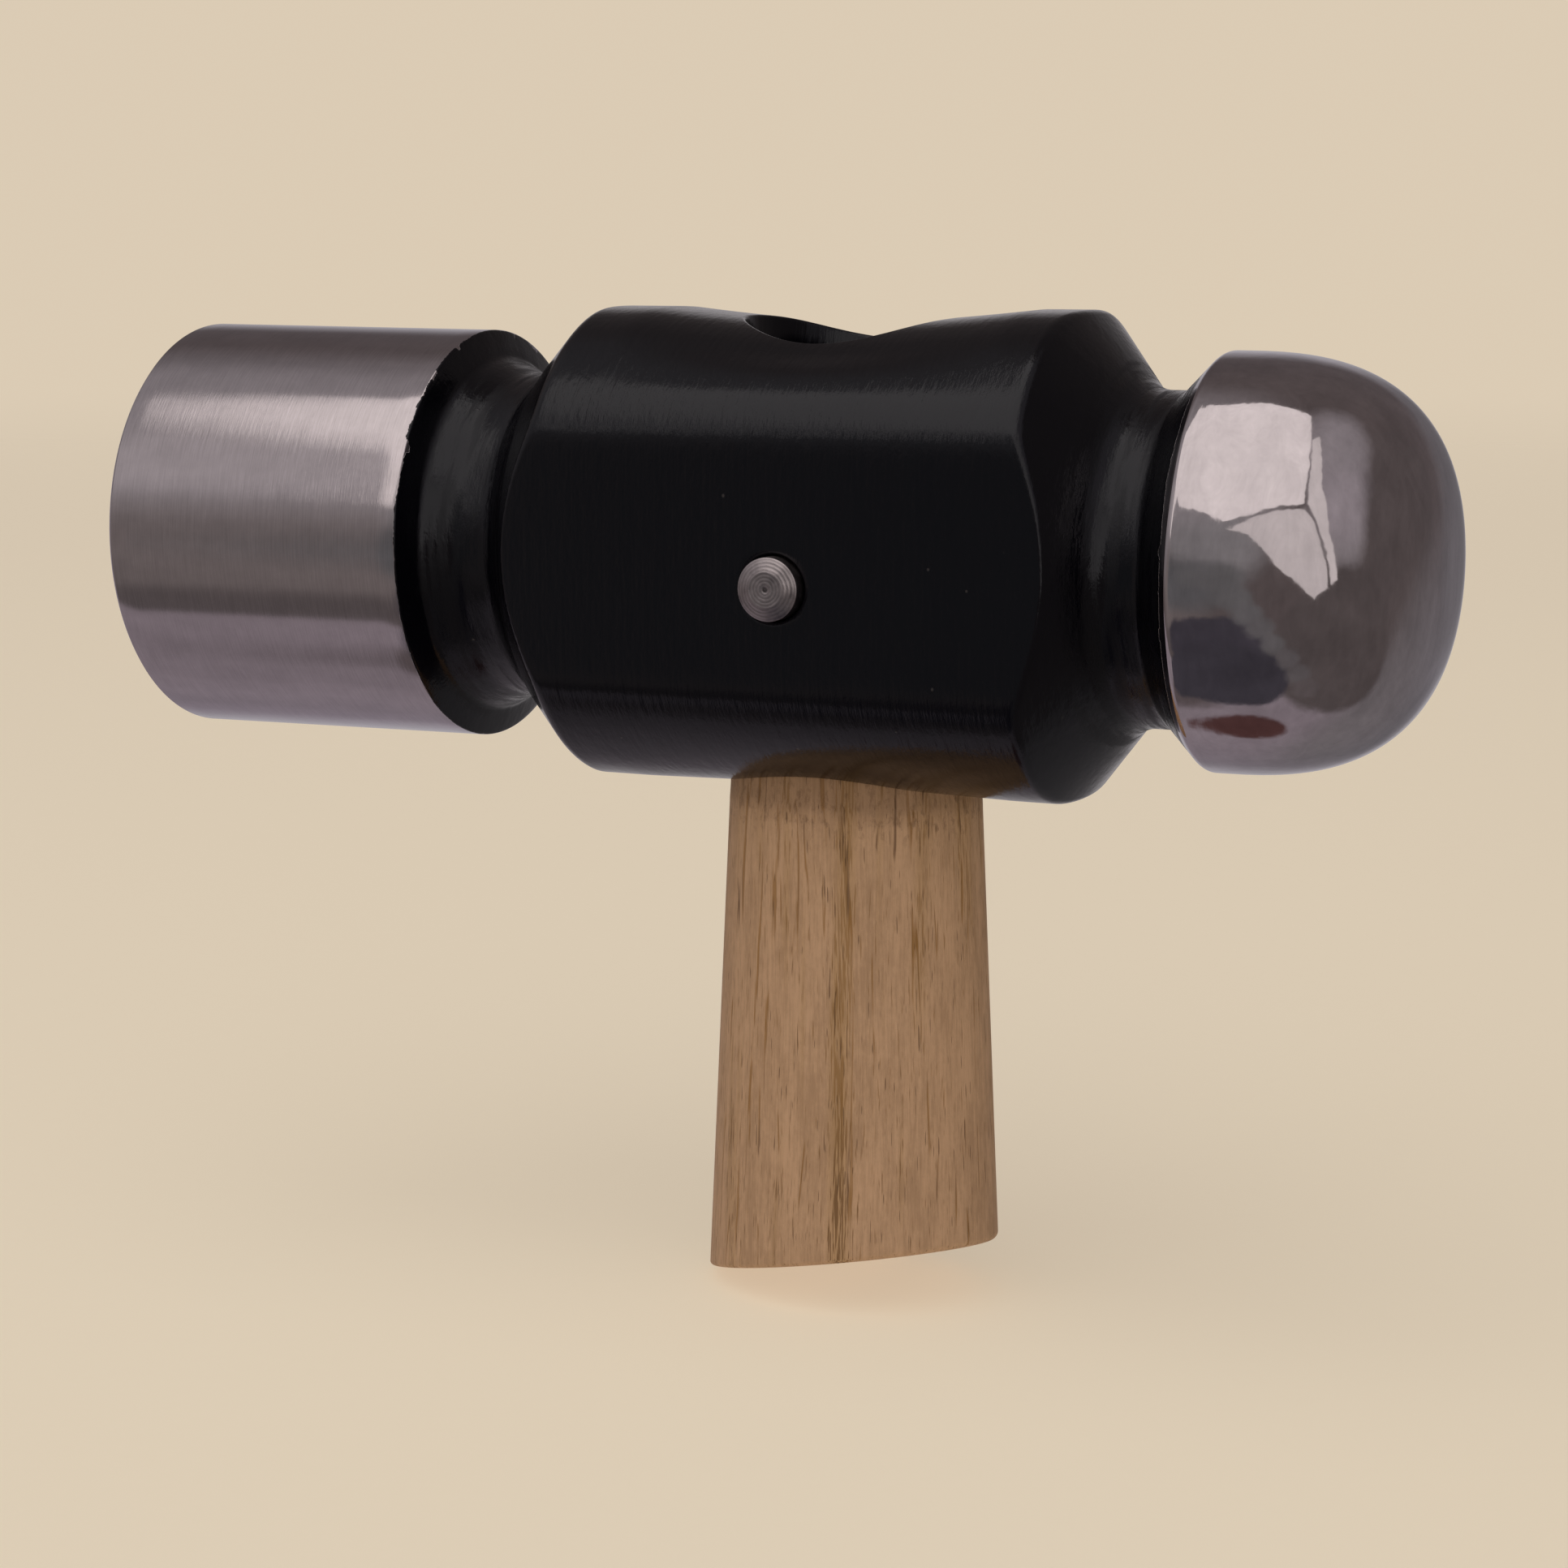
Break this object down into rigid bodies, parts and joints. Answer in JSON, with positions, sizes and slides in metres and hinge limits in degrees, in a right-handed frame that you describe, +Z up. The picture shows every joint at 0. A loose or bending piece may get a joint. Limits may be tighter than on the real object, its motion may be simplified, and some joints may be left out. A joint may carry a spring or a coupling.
{
  "type": "ball peen hammer",
  "caption": "Ball peen hammer: steel head with a round flat striking face and a domed ball, black body with flat cheeks, cross pin, wedges, and a short oval wooden handle.",
  "frame": {"origin": "centre of the flat striking face", "axes": "+X runs along the head from the striking face through the eye to the tip of the ball, +Z is up, away from the handle, which hangs down along -Z, and Y runs across the cheeks along the cross pin"},
  "size_m": [0.1211, 0.0404, 0.0899],
  "materials": {
    "head_steel": "ground bright at the face end and polished at the ball, glossy black enamel on the body and both necks",
    "handle_wood": "straight-grained open-pored hardwood, sanded and oiled",
    "wedge_wood": "end grain, sawn",
    "wedge_steel": "plain, lightly oxidised",
    "pin_steel": "turned, with fine concentric marks"
  },
  "bodies": {
    "root": {"hammer_head": "head_steel", "handle": "handle_wood", "wooden_wedge": "wedge_wood", "steel_wedge_poll_side": "wedge_steel", "steel_wedge_ball_side": "wedge_steel", "cross_pin": "pin_steel"}
  },
  "joints": []
}
